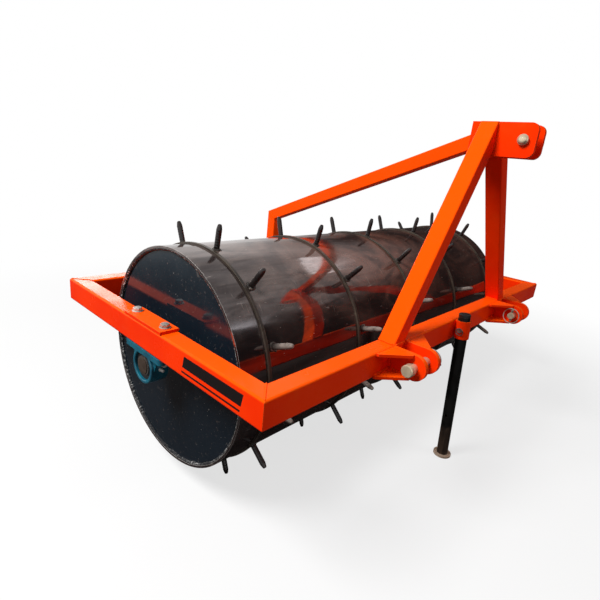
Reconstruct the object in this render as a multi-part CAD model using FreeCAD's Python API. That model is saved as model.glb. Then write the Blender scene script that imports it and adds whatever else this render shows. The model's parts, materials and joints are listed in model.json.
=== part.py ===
"""Aerator roller: a spiked land roller carried on a tractor's three-point hitch.

Frame of reference: X runs along the drum, -Y is the tractor's side, Z is up.
The origin is on the floor under the middle of the whole machine. Millimetres.
"""
import FreeCAD, Part
import math
import os

V = FreeCAD.Vector
X_AXIS, Z_AXIS = V(1, 0, 0), V(0, 0, 1)

# ---------------------------------------------------------------- main frame
frame_width = 2000.0        # along X, over the side beams
beam_width = 60.0           # box tube, seen from above
beam_height = 80.0
beam_wall = 5.0
beam_corner = 7.0           # outer radius of the tube's corners

# --------------------------------------------------------------------- drum
drum_radius = 355.5         # 28 inch pipe
drum_side_clearance = 35.0  # pipe end to side beam
drum_wall = 8.0
end_plate_thickness = 10.0
end_plate_recess = 8.0      # the plate lies this far inside the pipe's end
band_end_margin = 99.0      # pipe end to the middle of the first and last band
band_shifts = (0.0, 23.0, 2.0, -5.0, -5.0)      # along X from even spacing, one for each band
band_width = 10.0
band_thickness = 6.0

# ------------------------------------------------------------------- spikes
spikes_per_ring = 12
spike_length = 80.0
spike_sides = 8             # flats that stand for the round bar
spike_base_radius = 9.5
spike_neck_radius = 9.0     # where the point begins
spike_tip_radius = 5.0
spike_point_length = 16.0
spike_band_gap = 12.0       # band's side to the spike's foot
spike_beam_clearance = 39.5     # spike's tip to the front and rear beams
ring_phases = (8.0, 13.6, 8.0, 8.8, -8.0)   # degrees towards the front, one for each ring
resting_angle = 8.0         # the two lowest tips stand this far from straight down

# ----------------------------------------------------- shaft and its bearings
shaft_radius = 25.0
shaft_end_inset = 2.0       # shaft's end to the frame's outer face
bearing_base_length = 206.0
bearing_base_height = 18.0
bearing_base_corner = 12.0
bearing_boss_radius = 56.0
bearing_boss_gap = 1.2      # boss to the underside of the beam
bearing_boss_width = 54.0
bearing_web_width = 40.0
bearing_web_flare = 16.0    # the web's foot spreads this far beyond the boss
bearing_recess_radius = 45.0
bearing_recess_depth = 9.0
bearing_ring_wall = 6.0     # ring that is locked on the shaft
bearing_ring_width = 50.0
running_clearance = 0.05    # radial, where the ring turns in its housing
cap_plate_length = 210.0
cap_plate_thickness = 9.0

# ----------------------------------------------------- three-point headstock
mast_foot_half_span = 471.0     # middle of the frame to a leg's outer edge
mast_top_land = 7.7             # flat on a leg's top, out from the lug
mast_tube_width = 54.0          # square to the leg, in the plane of the A
mast_tube_wall = 4.0
mast_corner = 5.0
top_lug_gap = 52.0
top_lug_thickness = 16.0
top_lug_height = 106.0
top_lug_top = 685.0             # above the beams
top_lug_reach = 124.0           # forward of the front face
top_lug_tail = 88.0             # rearward of the front face
top_lug_corner = 24.0
top_pin_height = 633.0          # above the beams
top_pin_reach = 86.0
top_pin_radius = 12.7
top_pin_head_radius = 17.0
top_pin_head_length = 14.0
top_pin_head_bevel = 4.0
top_pin_free_end = 32.0         # beyond the lug

lower_span = 870.0              # middle of one lower clevis to the other
lower_lug_gap = 62.0
lower_lug_thickness = 15.0
lower_pin_reach = 78.0
lower_pin_radius = 14.0
lower_pin_bevel = 2.0
lower_pin_head_radius = 19.0    # thicker outer end
lower_pin_head_length = 22.0
lower_pin_outer_end = 40.0      # beyond the outer lug
lower_pin_inner_end = 32.0      # beyond the inner lug
gusset_root = 86.0
gusset_reach = 74.0
gusset_tip = 8.0
gusset_thickness = 9.0
pin_hole_clearance = 0.25       # radial, hitch pins in their lugs
linch_hole_radius = 5.5         # cross hole in each hitch pin
linch_hole_inset = 13.0         # pin's end to the middle of its cross hole

# -------------------------------------------------------------- rear brace
brace_height = 50.0
brace_wall = 4.0
brace_corner = 5.0
brace_weld_gap = 1.0            # each side, between the brace and the top lugs
brace_post_height = 240.0       # rear beam's top to the upper corner of the mitre
brace_front_top = 680.0         # height of the brace's upper edge at its front end
brace_front_inset = 10.0        # rearward of the front face

# ------------------------------------------------------------ parking stand
stand_x = -18.0
stand_lean = 3.4                # degrees, the foot stands forward of the socket
stand_leg_radius = 21.2
stand_leg_wall = 3.2
stand_clearance = 0.8           # radial, leg in socket
socket_wall = 4.5
socket_height = 68.0
socket_seat = 2.0               # the socket's back is cut this far to sit on the beam
socket_top_drop = 2.0           # below the beam's top
stand_rise = 14.0               # leg's top above the socket
stand_cap_height = 12.0
stand_cap_bevel = 2.5
foot_radius = 34.0
foot_thickness = 8.0
stand_hole_radius = 6.0
stand_pin_radius = 5.5
stand_pin_head_radius = 9.0
stand_pin_head_length = 6.0
stand_pin_free_end = 12.0
stand_travel = 355.0            # pin hole in use to the spare hole lower down

# ------------------------------------------------------------ derived places
half_width = frame_width / 2
drum_length = frame_width - 2 * (beam_width + drum_side_clearance)
tip_radius = drum_radius + spike_length
frame_depth = 2 * (tip_radius + spike_beam_clearance + beam_width)
front_y = -(frame_depth - top_lug_reach) / 2
rear_y = front_y + frame_depth
axle_y = front_y + frame_depth / 2
axle_z = (tip_radius * math.cos(math.radians(resting_angle))
          + spike_tip_radius * math.sin(math.radians(resting_angle)))
bearing_drop = bearing_boss_radius + bearing_boss_gap
beam_bottom = axle_z + bearing_drop
beam_top = beam_bottom + beam_height
bearing_x = half_width - beam_width / 2
bearing_ring_radius = shaft_radius + bearing_ring_wall
lower_pin_y = front_y - lower_pin_reach
lower_pin_z = beam_bottom + beam_height / 2
top_pin_y = front_y - top_pin_reach
top_pin_z = beam_top + top_pin_height
lug_outer_x = top_lug_gap / 2 + top_lug_thickness
mast_lean = (mast_foot_half_span - lug_outer_x - mast_top_land) / top_lug_top
socket_bore_radius = stand_leg_radius + stand_clearance
socket_radius = socket_bore_radius + socket_wall
stand_y = front_y - socket_radius + socket_seat
stand_pin_drop = socket_top_drop + socket_height / 2


# ------------------------------------------------------------------ helpers
def box(x0, x1, y0, y1, z0, z1):
    return Part.makeBox(x1 - x0, y1 - y0, z1 - z0, V(x0, y0, z0))


def rod(radius, length, start, axis):
    return Part.makeCylinder(radius, length, start, axis)


def bevelled_rod(radius, bevel, length, start, axis):
    """A round bar whose far end is bevelled."""
    bar = rod(radius, length, start, axis)
    rim = [e for e in bar.Edges if e.Closed and abs((e.CenterOfMass - start).dot(axis)) > length / 2]
    return bar.makeChamfer(bevel, rim)


def flat_face(points):
    return Part.Face(Part.makePolygon(points + [points[0]]))


def prism(points, run):
    """A straight-sided outline, pushed along the vector run."""
    return flat_face(points).extrude(run)


def rounded_along(shape, direction, radius):
    """The shape with every straight edge that runs along the direction rounded."""
    direction = V(direction).normalize()
    return shape.makeFillet(radius, [e for e in shape.Edges if abs(e.tangentAt(0).dot(direction)) > 0.999])


def mirror_x(shape):
    return shape.mirror(V(0, 0, 0), X_AXIS)


def pair(name, shape):
    """The same piece on both sides: the one given lies at -X."""
    return {name + "_left": shape, name + "_right": mirror_x(shape)}


# --------------------------------------------------------------- main frame
def mitred_beam(length):
    """A box tube along X with its long face on y = 0 and 45 degree mitres."""
    half = length / 2
    outer = rounded_along(box(-half, half, 0, beam_width, 0, beam_height), X_AXIS, beam_corner)
    bore = box(-half, half, beam_wall, beam_width - beam_wall, beam_wall, beam_height - beam_wall)
    bore = rounded_along(bore, X_AXIS, beam_corner - beam_wall)
    mitre = prism([V(half + 1, -1, -1), V(half - beam_width - 1, beam_width + 1, -1),
                   V(half + 1, beam_width + 1, -1)], V(0, 0, beam_height + 2))
    return outer.cut([bore, mitre, mirror_x(mitre)])


def frame_beams():
    front = mitred_beam(frame_width)
    front.translate(V(0, front_y, beam_bottom))
    rear = mitred_beam(frame_width)
    rear.rotate(V(0, 0, 0), Z_AXIS, 180)
    rear.translate(V(0, rear_y, beam_bottom))
    side = mitred_beam(frame_depth)
    side.rotate(V(0, 0, 0), Z_AXIS, -90)
    side.translate(V(-half_width, axle_y, beam_bottom))
    nodes = {"front_beam": front, "rear_beam": rear}
    nodes.update(pair("side_beam", side))
    return nodes


# ----------------------------------------------------------------- bearings
def bearing_housing():
    """A pillow block hung upside down under the side beam."""
    base = box(-beam_width / 2, beam_width / 2, -bearing_base_length / 2, bearing_base_length / 2,
               bearing_drop - bearing_base_height, bearing_drop)
    base = rounded_along(base, Z_AXIS, bearing_base_corner)
    half = bearing_web_width / 2
    foot = bearing_boss_radius + bearing_web_flare
    rise = bearing_drop - bearing_base_height
    web = prism([V(-half, -bearing_boss_radius, 0), V(-half, bearing_boss_radius, 0),
                 V(-half, foot, rise), V(-half, -foot, rise)], V(2 * half, 0, 0))
    face = bearing_boss_width / 2
    boss = rod(bearing_boss_radius, 2 * face, V(-face, 0, 0), X_AXIS)
    body = base.fuse([web, boss]).removeSplitter()
    bore = rod(bearing_ring_radius + running_clearance, 2 * face, V(-face, 0, 0), X_AXIS)
    outer_recess = rod(bearing_recess_radius, bearing_recess_depth, V(-face, 0, 0), X_AXIS)
    body = body.cut([bore, outer_recess, mirror_x(outer_recess)])
    body.translate(V(-bearing_x, axle_y, axle_z))
    return body


def bearings():
    nodes = pair("bearing_housing", bearing_housing())
    plate = box(-half_width, -half_width + beam_width, axle_y - cap_plate_length / 2,
                axle_y + cap_plate_length / 2, beam_top, beam_top + cap_plate_thickness)
    nodes.update(pair("cap_plate", plate))
    return nodes


# --------------------------------------------------------------------- drum
def ring_round_axle(outer, inner, x0, x1):
    start = V(x0, axle_y, axle_z)
    return rod(outer, x1 - x0, start, X_AXIS).cut(rod(inner, x1 - x0, start, X_AXIS))


def band_positions():
    first = -drum_length / 2 + band_end_margin
    step = -2 * first / (len(band_shifts) - 1)
    return [first + i * step + shift for i, shift in enumerate(band_shifts)]


def drum_ends():
    outer_face = -drum_length / 2 + end_plate_recess
    plate = ring_round_axle(drum_radius - drum_wall, shaft_radius,
                            outer_face, outer_face + end_plate_thickness)
    shaft_start = -half_width + shaft_end_inset
    shaft_run = outer_face + 2 * end_plate_thickness - shaft_start
    shaft = rod(shaft_radius, shaft_run, V(shaft_start, axle_y, axle_z), X_AXIS)
    ring = ring_round_axle(bearing_ring_radius, shaft_radius,
                           -bearing_x - bearing_ring_width / 2, -bearing_x + bearing_ring_width / 2)
    nodes = pair("drum_end", plate)
    nodes.update(pair("axle_stub", shaft))
    nodes.update(pair("bearing_ring", ring))
    return nodes


def spike():
    """One spike standing up from the drum: a bar with a blunt point."""
    def section(radius, height):
        turn = 2 * math.pi / spike_sides
        return [V(radius * math.cos(i * turn), radius * math.sin(i * turn), height)
                for i in range(spike_sides)]
    sections = [section(spike_base_radius, drum_radius),
                section(spike_neck_radius, tip_radius - spike_point_length),
                section(spike_tip_radius, tip_radius)]
    outlines = [sections[0], sections[-1]]
    for low, high in zip(sections, sections[1:]):
        outlines += [[low[i - 1], low[i], high[i], high[i - 1]] for i in range(spike_sides)]
    return Part.Solid(Part.Shell([flat_face(outline) for outline in outlines]))


def spike_ring(x, phase):
    spikes = []
    for i in range(spikes_per_ring):
        one = spike()
        one.rotate(V(0, 0, 0), X_AXIS, phase + i * 360.0 / spikes_per_ring)
        one.translate(V(x, axle_y, axle_z))
        spikes.append(one)
    return Part.makeCompound(spikes)


def drum():
    half = drum_length / 2
    nodes = {"drum_shell": ring_round_axle(drum_radius, drum_radius - drum_wall, -half, half)}
    nodes.update(drum_ends())
    spike_offset = band_width / 2 + spike_band_gap + spike_base_radius
    for number, (x, phase) in enumerate(zip(band_positions(), ring_phases), start=1):
        nodes["drum_band_%d" % number] = ring_round_axle(
            drum_radius + band_thickness, drum_radius, x - band_width / 2, x + band_width / 2)
        nodes["spike_ring_%d" % number] = spike_ring(x + spike_offset, phase)
    return nodes


# ---------------------------------------------------------------- headstock
def mast_leg():
    """The leg at -X: flat foot on the beam, upright cut against the lug."""
    slant = math.sqrt(1 + mast_lean ** 2)

    def outline(inset, top, y):
        outer = -mast_foot_half_span + inset * slant
        inner = -mast_foot_half_span + (mast_tube_width - inset) * slant
        points = [(outer, 0), (inner, 0), (-lug_outer_x, (-lug_outer_x - inner) / mast_lean),
                  (-lug_outer_x, top), (outer + mast_lean * top, top)]
        return [V(px, y, beam_top + pz) for px, pz in points]
    solid = prism(outline(0, top_lug_top, front_y), V(0, beam_width, 0))
    solid = rounded_along(solid, V(mast_lean, 0, 1), mast_corner)
    bore = prism(outline(mast_tube_wall, top_lug_top - mast_tube_wall, front_y + mast_tube_wall),
                 V(0, beam_width - 2 * mast_tube_wall, 0))
    return solid.cut(bore)


def top_lug():
    x0 = -lug_outer_x
    plate = box(x0, x0 + top_lug_thickness, front_y - top_lug_reach, front_y + top_lug_tail,
                beam_top + top_lug_top - top_lug_height, beam_top + top_lug_top)
    nose = [e for e in plate.Edges if abs(e.tangentAt(0).x) > 0.9 and e.BoundBox.YMax < front_y]
    plate = plate.makeFillet(top_lug_corner, nose)
    hole = rod(top_pin_radius + pin_hole_clearance, top_lug_thickness, V(x0, top_pin_y, top_pin_z), X_AXIS)
    return plate.cut(hole)


def cross_hole(x, y, z, pin_radius):
    return rod(linch_hole_radius, 2 * pin_radius, V(x, y, z - pin_radius), Z_AXIS)


def top_pin():
    start = -lug_outer_x
    length = 2 * lug_outer_x + top_pin_free_end
    shaft = rod(top_pin_radius, length, V(start, top_pin_y, top_pin_z), X_AXIS)
    head = bevelled_rod(top_pin_head_radius, top_pin_head_bevel, top_pin_head_length,
                        V(start, top_pin_y, top_pin_z), -X_AXIS)
    hole = cross_hole(start + length - linch_hole_inset, top_pin_y, top_pin_z, top_pin_radius)
    return shaft.fuse(head).cut(hole)


def lower_lug(x0):
    """A clevis plate with a full round nose, on the front face of the beam."""
    plate = box(x0, x0 + lower_lug_thickness, lower_pin_y, front_y, beam_bottom, beam_top)
    nose = rod(beam_height / 2, lower_lug_thickness, V(x0, lower_pin_y, lower_pin_z), X_AXIS)
    hole = rod(lower_pin_radius + pin_hole_clearance, lower_lug_thickness,
               V(x0, lower_pin_y, lower_pin_z), X_AXIS)
    return plate.fuse(nose).removeSplitter().cut(hole)


def gusset(x_lug, side, z):
    """A flat triangle between the beam and a lug; side is -1 or 1 along X."""
    points = [V(x_lug, front_y, z), V(x_lug + side * gusset_root, front_y, z),
              V(x_lug + side * gusset_root, front_y - gusset_tip, z),
              V(x_lug + side * gusset_tip, front_y - gusset_reach, z), V(x_lug, front_y - gusset_reach, z)]
    return prism(points, V(0, 0, gusset_thickness))


def lower_pin(outer, inner):
    """The pin between its two ends along X; the outer one is thicker."""
    shoulder = V(outer + lower_pin_head_length, lower_pin_y, lower_pin_z)
    pin = bevelled_rod(lower_pin_radius, lower_pin_bevel, inner - shoulder.x, shoulder, X_AXIS)
    head = bevelled_rod(lower_pin_head_radius, lower_pin_bevel, lower_pin_head_length, shoulder, -X_AXIS)
    hole = cross_hole(inner - linch_hole_inset, lower_pin_y, lower_pin_z, lower_pin_radius)
    return pin.fuse(head).cut(hole)


def lower_hitch():
    middle = -lower_span / 2
    outer_x0 = middle - lower_lug_gap / 2 - lower_lug_thickness
    inner_x0 = middle + lower_lug_gap / 2
    inner_x1 = inner_x0 + lower_lug_thickness
    gussets = []
    for z in (beam_bottom, beam_top - gusset_thickness):
        gussets += [gusset(outer_x0, -1, z), gusset(inner_x1, 1, z)]
    nodes = pair("lower_lugs", Part.makeCompound([lower_lug(outer_x0), lower_lug(inner_x0)]))
    nodes.update(pair("lower_gussets", Part.makeCompound(gussets)))
    link_pin = lower_pin(outer_x0 - lower_pin_outer_end, inner_x1 + lower_pin_inner_end)
    nodes.update(pair("lower_pin", link_pin))
    return nodes


def brace_and_post():
    """The brace runs back from between the top lugs to a mitred post on the rear beam."""
    half = top_lug_gap / 2 - brace_weld_gap
    front_end = front_y + brace_front_inset
    post_front = rear_y - brace_height
    slope = (brace_front_top - brace_post_height) / (rear_y - front_end)
    slant = math.sqrt(1 + slope ** 2)
    top = beam_top + brace_front_top
    foot = top - brace_height * slant
    knee_top = beam_top + brace_post_height
    knee_low = knee_top + (slope - slant) * brace_height

    def knee(inset):
        """Upper and lower corner of the mitre, for the tube's outside or its bore."""
        lift = inset * (slant - slope)
        return (rear_y - inset, knee_top - lift), (post_front + inset, knee_low + lift)

    def tube(outline, inner_outline, direction):
        def slab(points, inset):
            return prism([V(-half + inset, y, z) for y, z in points], V(2 * (half - inset), 0, 0))
        return rounded_along(slab(outline, 0), direction, brace_corner).cut(slab(inner_outline, brace_wall))

    def brace_outline(inset):
        high, low = knee(inset)
        return [(front_end, top - inset * slant), high, low, (front_end, foot + inset * slant)]

    def post_outline(inset):
        high, low = knee(inset)
        return [(rear_y - inset, beam_top), high, low, (post_front + inset, beam_top)]

    return {"top_brace": tube(brace_outline(0), brace_outline(brace_wall), V(0, 1, -slope)),
            "brace_post": tube(post_outline(0), post_outline(brace_wall), Z_AXIS)}


def headstock():
    nodes = pair("mast_leg", mast_leg())
    nodes.update(pair("top_lug", top_lug()))
    nodes["top_pin"] = top_pin()
    nodes.update(lower_hitch())
    nodes.update(brace_and_post())
    return nodes


# ------------------------------------------------------------ parking stand
def leaned(shape):
    """From the stand's own axes, with z down from the beam's top, to its place."""
    shape.rotate(V(0, 0, 0), X_AXIS, -stand_lean)
    shape.translate(V(stand_x, stand_y, beam_top))
    return shape


def stand_tube(radius, wall, z0, z1):
    return rod(radius, z1 - z0, V(0, 0, z0), Z_AXIS).cut(rod(radius - wall, z1 - z0, V(0, 0, z0), Z_AXIS))


def stand_cross_hole(z):
    return rod(stand_hole_radius, 4 * socket_radius, V(-2 * socket_radius, 0, z), X_AXIS)


def stand_fixed():
    """The socket on the front beam, and the cross pin's two ends in its walls."""
    socket = stand_tube(socket_radius, socket_wall, -socket_top_drop - socket_height, -socket_top_drop)
    socket = leaned(socket.cut(stand_cross_hole(-stand_pin_drop)))
    reach = 2 * socket_radius
    behind = box(stand_x - reach, stand_x + reach, front_y, front_y + reach,
                 beam_bottom - reach, beam_top + reach)
    outside = V(-socket_radius, 0, -stand_pin_drop)
    near = rod(stand_pin_radius, socket_wall, outside, X_AXIS)
    head = rod(stand_pin_head_radius, stand_pin_head_length, outside, -X_AXIS)
    far = rod(stand_pin_radius, socket_wall + stand_pin_free_end,
              V(socket_bore_radius, 0, -stand_pin_drop), X_AXIS)
    pin_ends = leaned(Part.makeCompound([near.fuse(head), far]))
    return {"stand_socket": socket.cut(behind), "stand_pin": pin_ends}


def stand_moving():
    """The leg with its hole in use and its spare one, cut level to stand on the foot."""
    lean = math.radians(stand_lean)
    leg_top = stand_rise - socket_top_drop
    holes = [stand_cross_hole(-stand_pin_drop - lowered) for lowered in (0, stand_travel)]
    tube = stand_tube(stand_leg_radius, stand_leg_wall, -beam_top / math.cos(lean), leg_top)
    leg = leaned(tube.cut(holes))
    foot_y = stand_y - beam_top * math.tan(lean)
    reach = 2 * foot_radius
    below = box(stand_x - reach, stand_x + reach, foot_y - reach, foot_y + reach, -reach, foot_thickness)
    leg = leg.cut(below)
    foot = rod(foot_radius, foot_thickness, V(stand_x, foot_y, 0), Z_AXIS)
    cap = bevelled_rod(stand_leg_radius, stand_cap_bevel, stand_cap_height, V(0, 0, leg_top), Z_AXIS)
    return {"stand_leg": leg, "stand_foot": foot, "stand_cap": leaned(cap)}


def build():
    nodes = {}
    for section in (frame_beams, bearings, drum, headstock, stand_fixed, stand_moving):
        nodes.update(section())
    return nodes


os.makedirs("parts", exist_ok=True)
for node_name, node_shape in build().items():
    node_shape.exportStep("parts/%s.step" % node_name)
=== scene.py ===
"""Looks for the aerator roller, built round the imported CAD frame.

Lengths are metres in the part's own frame: +X along the drum, +Y rearward, +Z up. The CAD nodes
keep their places, and their object coordinates are the frame's. Every other piece rides a body.
"""
import bpy
import json
import math
import random
from mathutils import Matrix, Vector, noise


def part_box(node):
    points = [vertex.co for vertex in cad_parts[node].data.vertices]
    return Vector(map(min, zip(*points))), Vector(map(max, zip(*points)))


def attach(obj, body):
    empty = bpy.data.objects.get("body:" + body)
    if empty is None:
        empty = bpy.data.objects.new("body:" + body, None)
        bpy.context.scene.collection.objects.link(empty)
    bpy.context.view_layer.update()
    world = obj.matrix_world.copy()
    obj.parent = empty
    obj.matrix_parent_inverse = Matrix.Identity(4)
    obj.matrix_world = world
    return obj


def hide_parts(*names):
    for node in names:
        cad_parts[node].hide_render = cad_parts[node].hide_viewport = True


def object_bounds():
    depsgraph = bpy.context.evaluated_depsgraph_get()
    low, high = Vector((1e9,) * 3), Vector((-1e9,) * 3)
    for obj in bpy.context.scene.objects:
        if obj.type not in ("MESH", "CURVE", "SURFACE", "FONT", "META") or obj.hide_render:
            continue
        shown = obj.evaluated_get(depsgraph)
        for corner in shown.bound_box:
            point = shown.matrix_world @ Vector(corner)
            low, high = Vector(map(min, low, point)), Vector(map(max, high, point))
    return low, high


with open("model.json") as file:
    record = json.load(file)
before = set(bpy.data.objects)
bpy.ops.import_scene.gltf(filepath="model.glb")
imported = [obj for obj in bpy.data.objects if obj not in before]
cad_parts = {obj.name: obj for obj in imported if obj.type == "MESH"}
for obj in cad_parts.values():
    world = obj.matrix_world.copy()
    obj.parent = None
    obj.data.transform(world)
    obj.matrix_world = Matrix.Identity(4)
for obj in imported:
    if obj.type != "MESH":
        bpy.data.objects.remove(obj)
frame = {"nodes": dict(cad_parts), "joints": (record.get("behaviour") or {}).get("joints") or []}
cad_low, cad_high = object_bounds()
nodes = frame["nodes"]
SEED = 7
rng = random.Random(SEED)
noise.seed_set(SEED)        # Blender's vector noise follows the clock until it is seeded

X, Y, Z = Vector((1, 0, 0)), Vector((0, 1, 0)), Vector((0, 0, 1))
SIDES = (("left", -1), ("right", 1))        # the CAD's left pieces lie at -X
RINGS = range(1, 6)                         # the numbers of the drum's bands and spike rings


# ------------------------------------------------------ places, from the CAD
def middle_of(name):
    low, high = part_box(name)
    return (low + high) / 2


front_low, front_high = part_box("front_beam")
front_y, rear_y = front_low.y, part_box("rear_beam")[1].y
beam_bottom, beam_top = front_low.z, front_high.z
beam_width = front_high.y - front_low.y
axle = Vector(next(j["pos_m"] for j in frame["joints"] if j["name"] == "drum_spin"))
drum_low, drum_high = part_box("drum_shell")
drum_radius = (drum_high.z - drum_low.z) / 2
band_x = abs(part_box("drum_band_1")[0].x)
bearing_x = abs(middle_of("bearing_housing_left").x)


# ------------------------------------------------------------ mesh building
def add_object(name, data):
    obj = bpy.data.objects.new(name, data)
    bpy.context.scene.collection.objects.link(obj)
    return obj


def circle(centre, radius, count, u=Y, v=Z):
    """Points round a circle that lies in the plane of u and v."""
    return [centre + (u * math.cos(a) + v * math.sin(a)) * radius
            for a in (2 * math.pi * k / count for k in range(count))]


SMOOTH_TURNED, SMOOTH_BAR, SMOOTH_WELD = 35, 50, 70     # degrees past which an edge stays sharp


class Shape:
    """Vertices and faces of one piece, gathered from swept and turned forms."""

    def __init__(self):
        self.verts, self.faces = [], []

    def skin(self, rings, loop=False, caps=True):
        """Rings of equal length, joined one to the next; loop joins the last to the first."""
        base, count = len(self.verts), len(rings[0])
        for ring in rings:
            self.verts.extend(Vector(p) for p in ring)
        last = len(rings) if loop else len(rings) - 1
        for i in range(last):
            a, b = base + i * count, base + ((i + 1) % len(rings)) * count
            for k in range(count):
                n = (k + 1) % count
                self.faces.append((a + k, a + n, b + n, b + k))
        if caps and not loop:
            top = base + (len(rings) - 1) * count
            self.faces.append(tuple(base + k for k in reversed(range(count))))
            self.faces.append(tuple(top + k for k in range(count)))

    def turn(self, profile, start, axis, segments=32, radius_at=None, side=None, caps=True):
        """A form turned round an axis. The profile is (radius, height) pairs."""
        u = (side or axis.orthogonal()).normalized()
        v = axis.cross(u).normalized()
        rings = []
        for radius, height in profile:
            ring = []
            for k in range(segments):
                a = 2 * math.pi * k / segments
                r = radius_at(radius, height, a) if radius_at else radius
                ring.append(start + axis * height + (u * math.cos(a) + v * math.sin(a)) * r)
            rings.append(ring)
        self.skin(rings, caps=caps)

    def hexagon(self, start, axis, flats, height, side=None):
        """A hexagon nut or bolt head with its corners turned off at both ends."""
        apothem, corner = flats / 2, flats / math.sqrt(3)
        drop = flats * 0.12             # how far down the corners are turned off

        def radius_at(limit, _height, angle):
            return min(limit, apothem / math.cos(angle % (math.pi / 3) - math.pi / 6))

        profile = [(apothem * 0.96, 0), (apothem * 1.02, drop * 0.15), (corner, drop),
                   (corner, height - drop), (apothem * 1.06, height - drop * 0.35),
                   (apothem * 0.94, height)]
        self.turn(profile, start, axis, 36, radius_at, side)

    def tube(self, points, radius, loop=False, radius_at=None, sides=8):
        """A round bar along a line of points, its section carried along without twist."""
        points = [Vector(p) for p in points]
        count = len(points)
        rings, u = [], None
        for i, p in enumerate(points):
            ahead = points[(i + 1) % count] if loop or i < count - 1 else p
            behind = points[i - 1] if loop or i > 0 else p
            direction = (ahead - behind).normalized()
            u = direction.orthogonal() if u is None else u - direction * u.dot(direction)
            u.normalize()
            r = radius_at(i, radius) if radius_at else radius
            rings.append(circle(p, r, sides, u, direction.cross(u)))
        self.skin(rings, loop=loop)

    def piece(self, name, material, body, slot, smooth=SMOOTH_TURNED):
        """Makes the piece, which rides a body; slot is not used."""
        mesh = bpy.data.meshes.new(name)
        mesh.from_pydata([tuple(v) for v in self.verts], [], self.faces)
        mesh.validate()
        mesh.update()
        mesh.shade_smooth()
        mesh.set_sharp_from_angle(angle=math.radians(smooth))
        obj = add_object(name, mesh)
        obj.data.materials.append(material)
        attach(obj, body)
        return obj


def spread(points, step, closed=False):
    """Points at an even spacing along a polyline."""
    points = [Vector(p) for p in points]
    if closed:
        points.append(points[0])
    out = []
    for a, b in zip(points, points[1:]):
        n = max(1, round((b - a).length / step))
        out.extend(a.lerp(b, k / n) for k in range(n))
    if not closed:
        out.append(points[-1])
    return out


BEAD_WANDER = 0.16          # how far a bead strays from its line, in radii
BEAD_UNEVEN = 0.22          # how much its ripples and its longer patches swell


def bead(shape, points, radius, closed=False, step=0.0022, ripple=0.0058):
    """A weld bead: overlapping ripples along a line, a little uneven, thinner at its ends."""
    line = spread(points, step, closed)
    seed = Vector((rng.uniform(0, 50), rng.uniform(0, 50), rng.uniform(0, 50)))
    wander = [p + noise.noise_vector(p * 60 + seed) * radius * BEAD_WANDER for p in line]

    def radius_at(i, r):
        phase = (i * step / ripple) % 1.0
        swell = 0.86 + BEAD_UNEVEN * math.sqrt(max(0.0, 1 - (2 * phase - 1) ** 2))
        patch = 1 + BEAD_UNEVEN * noise.noise(line[i] * 28 + seed)
        taper = 1.0
        if not closed:
            near = min(i, len(line) - 1 - i) * step
            taper = min(1.0, 0.45 + near / (2.5 * radius))
        return r * swell * patch * taper

    shape.tube(wander, radius, closed, radius_at)


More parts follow.
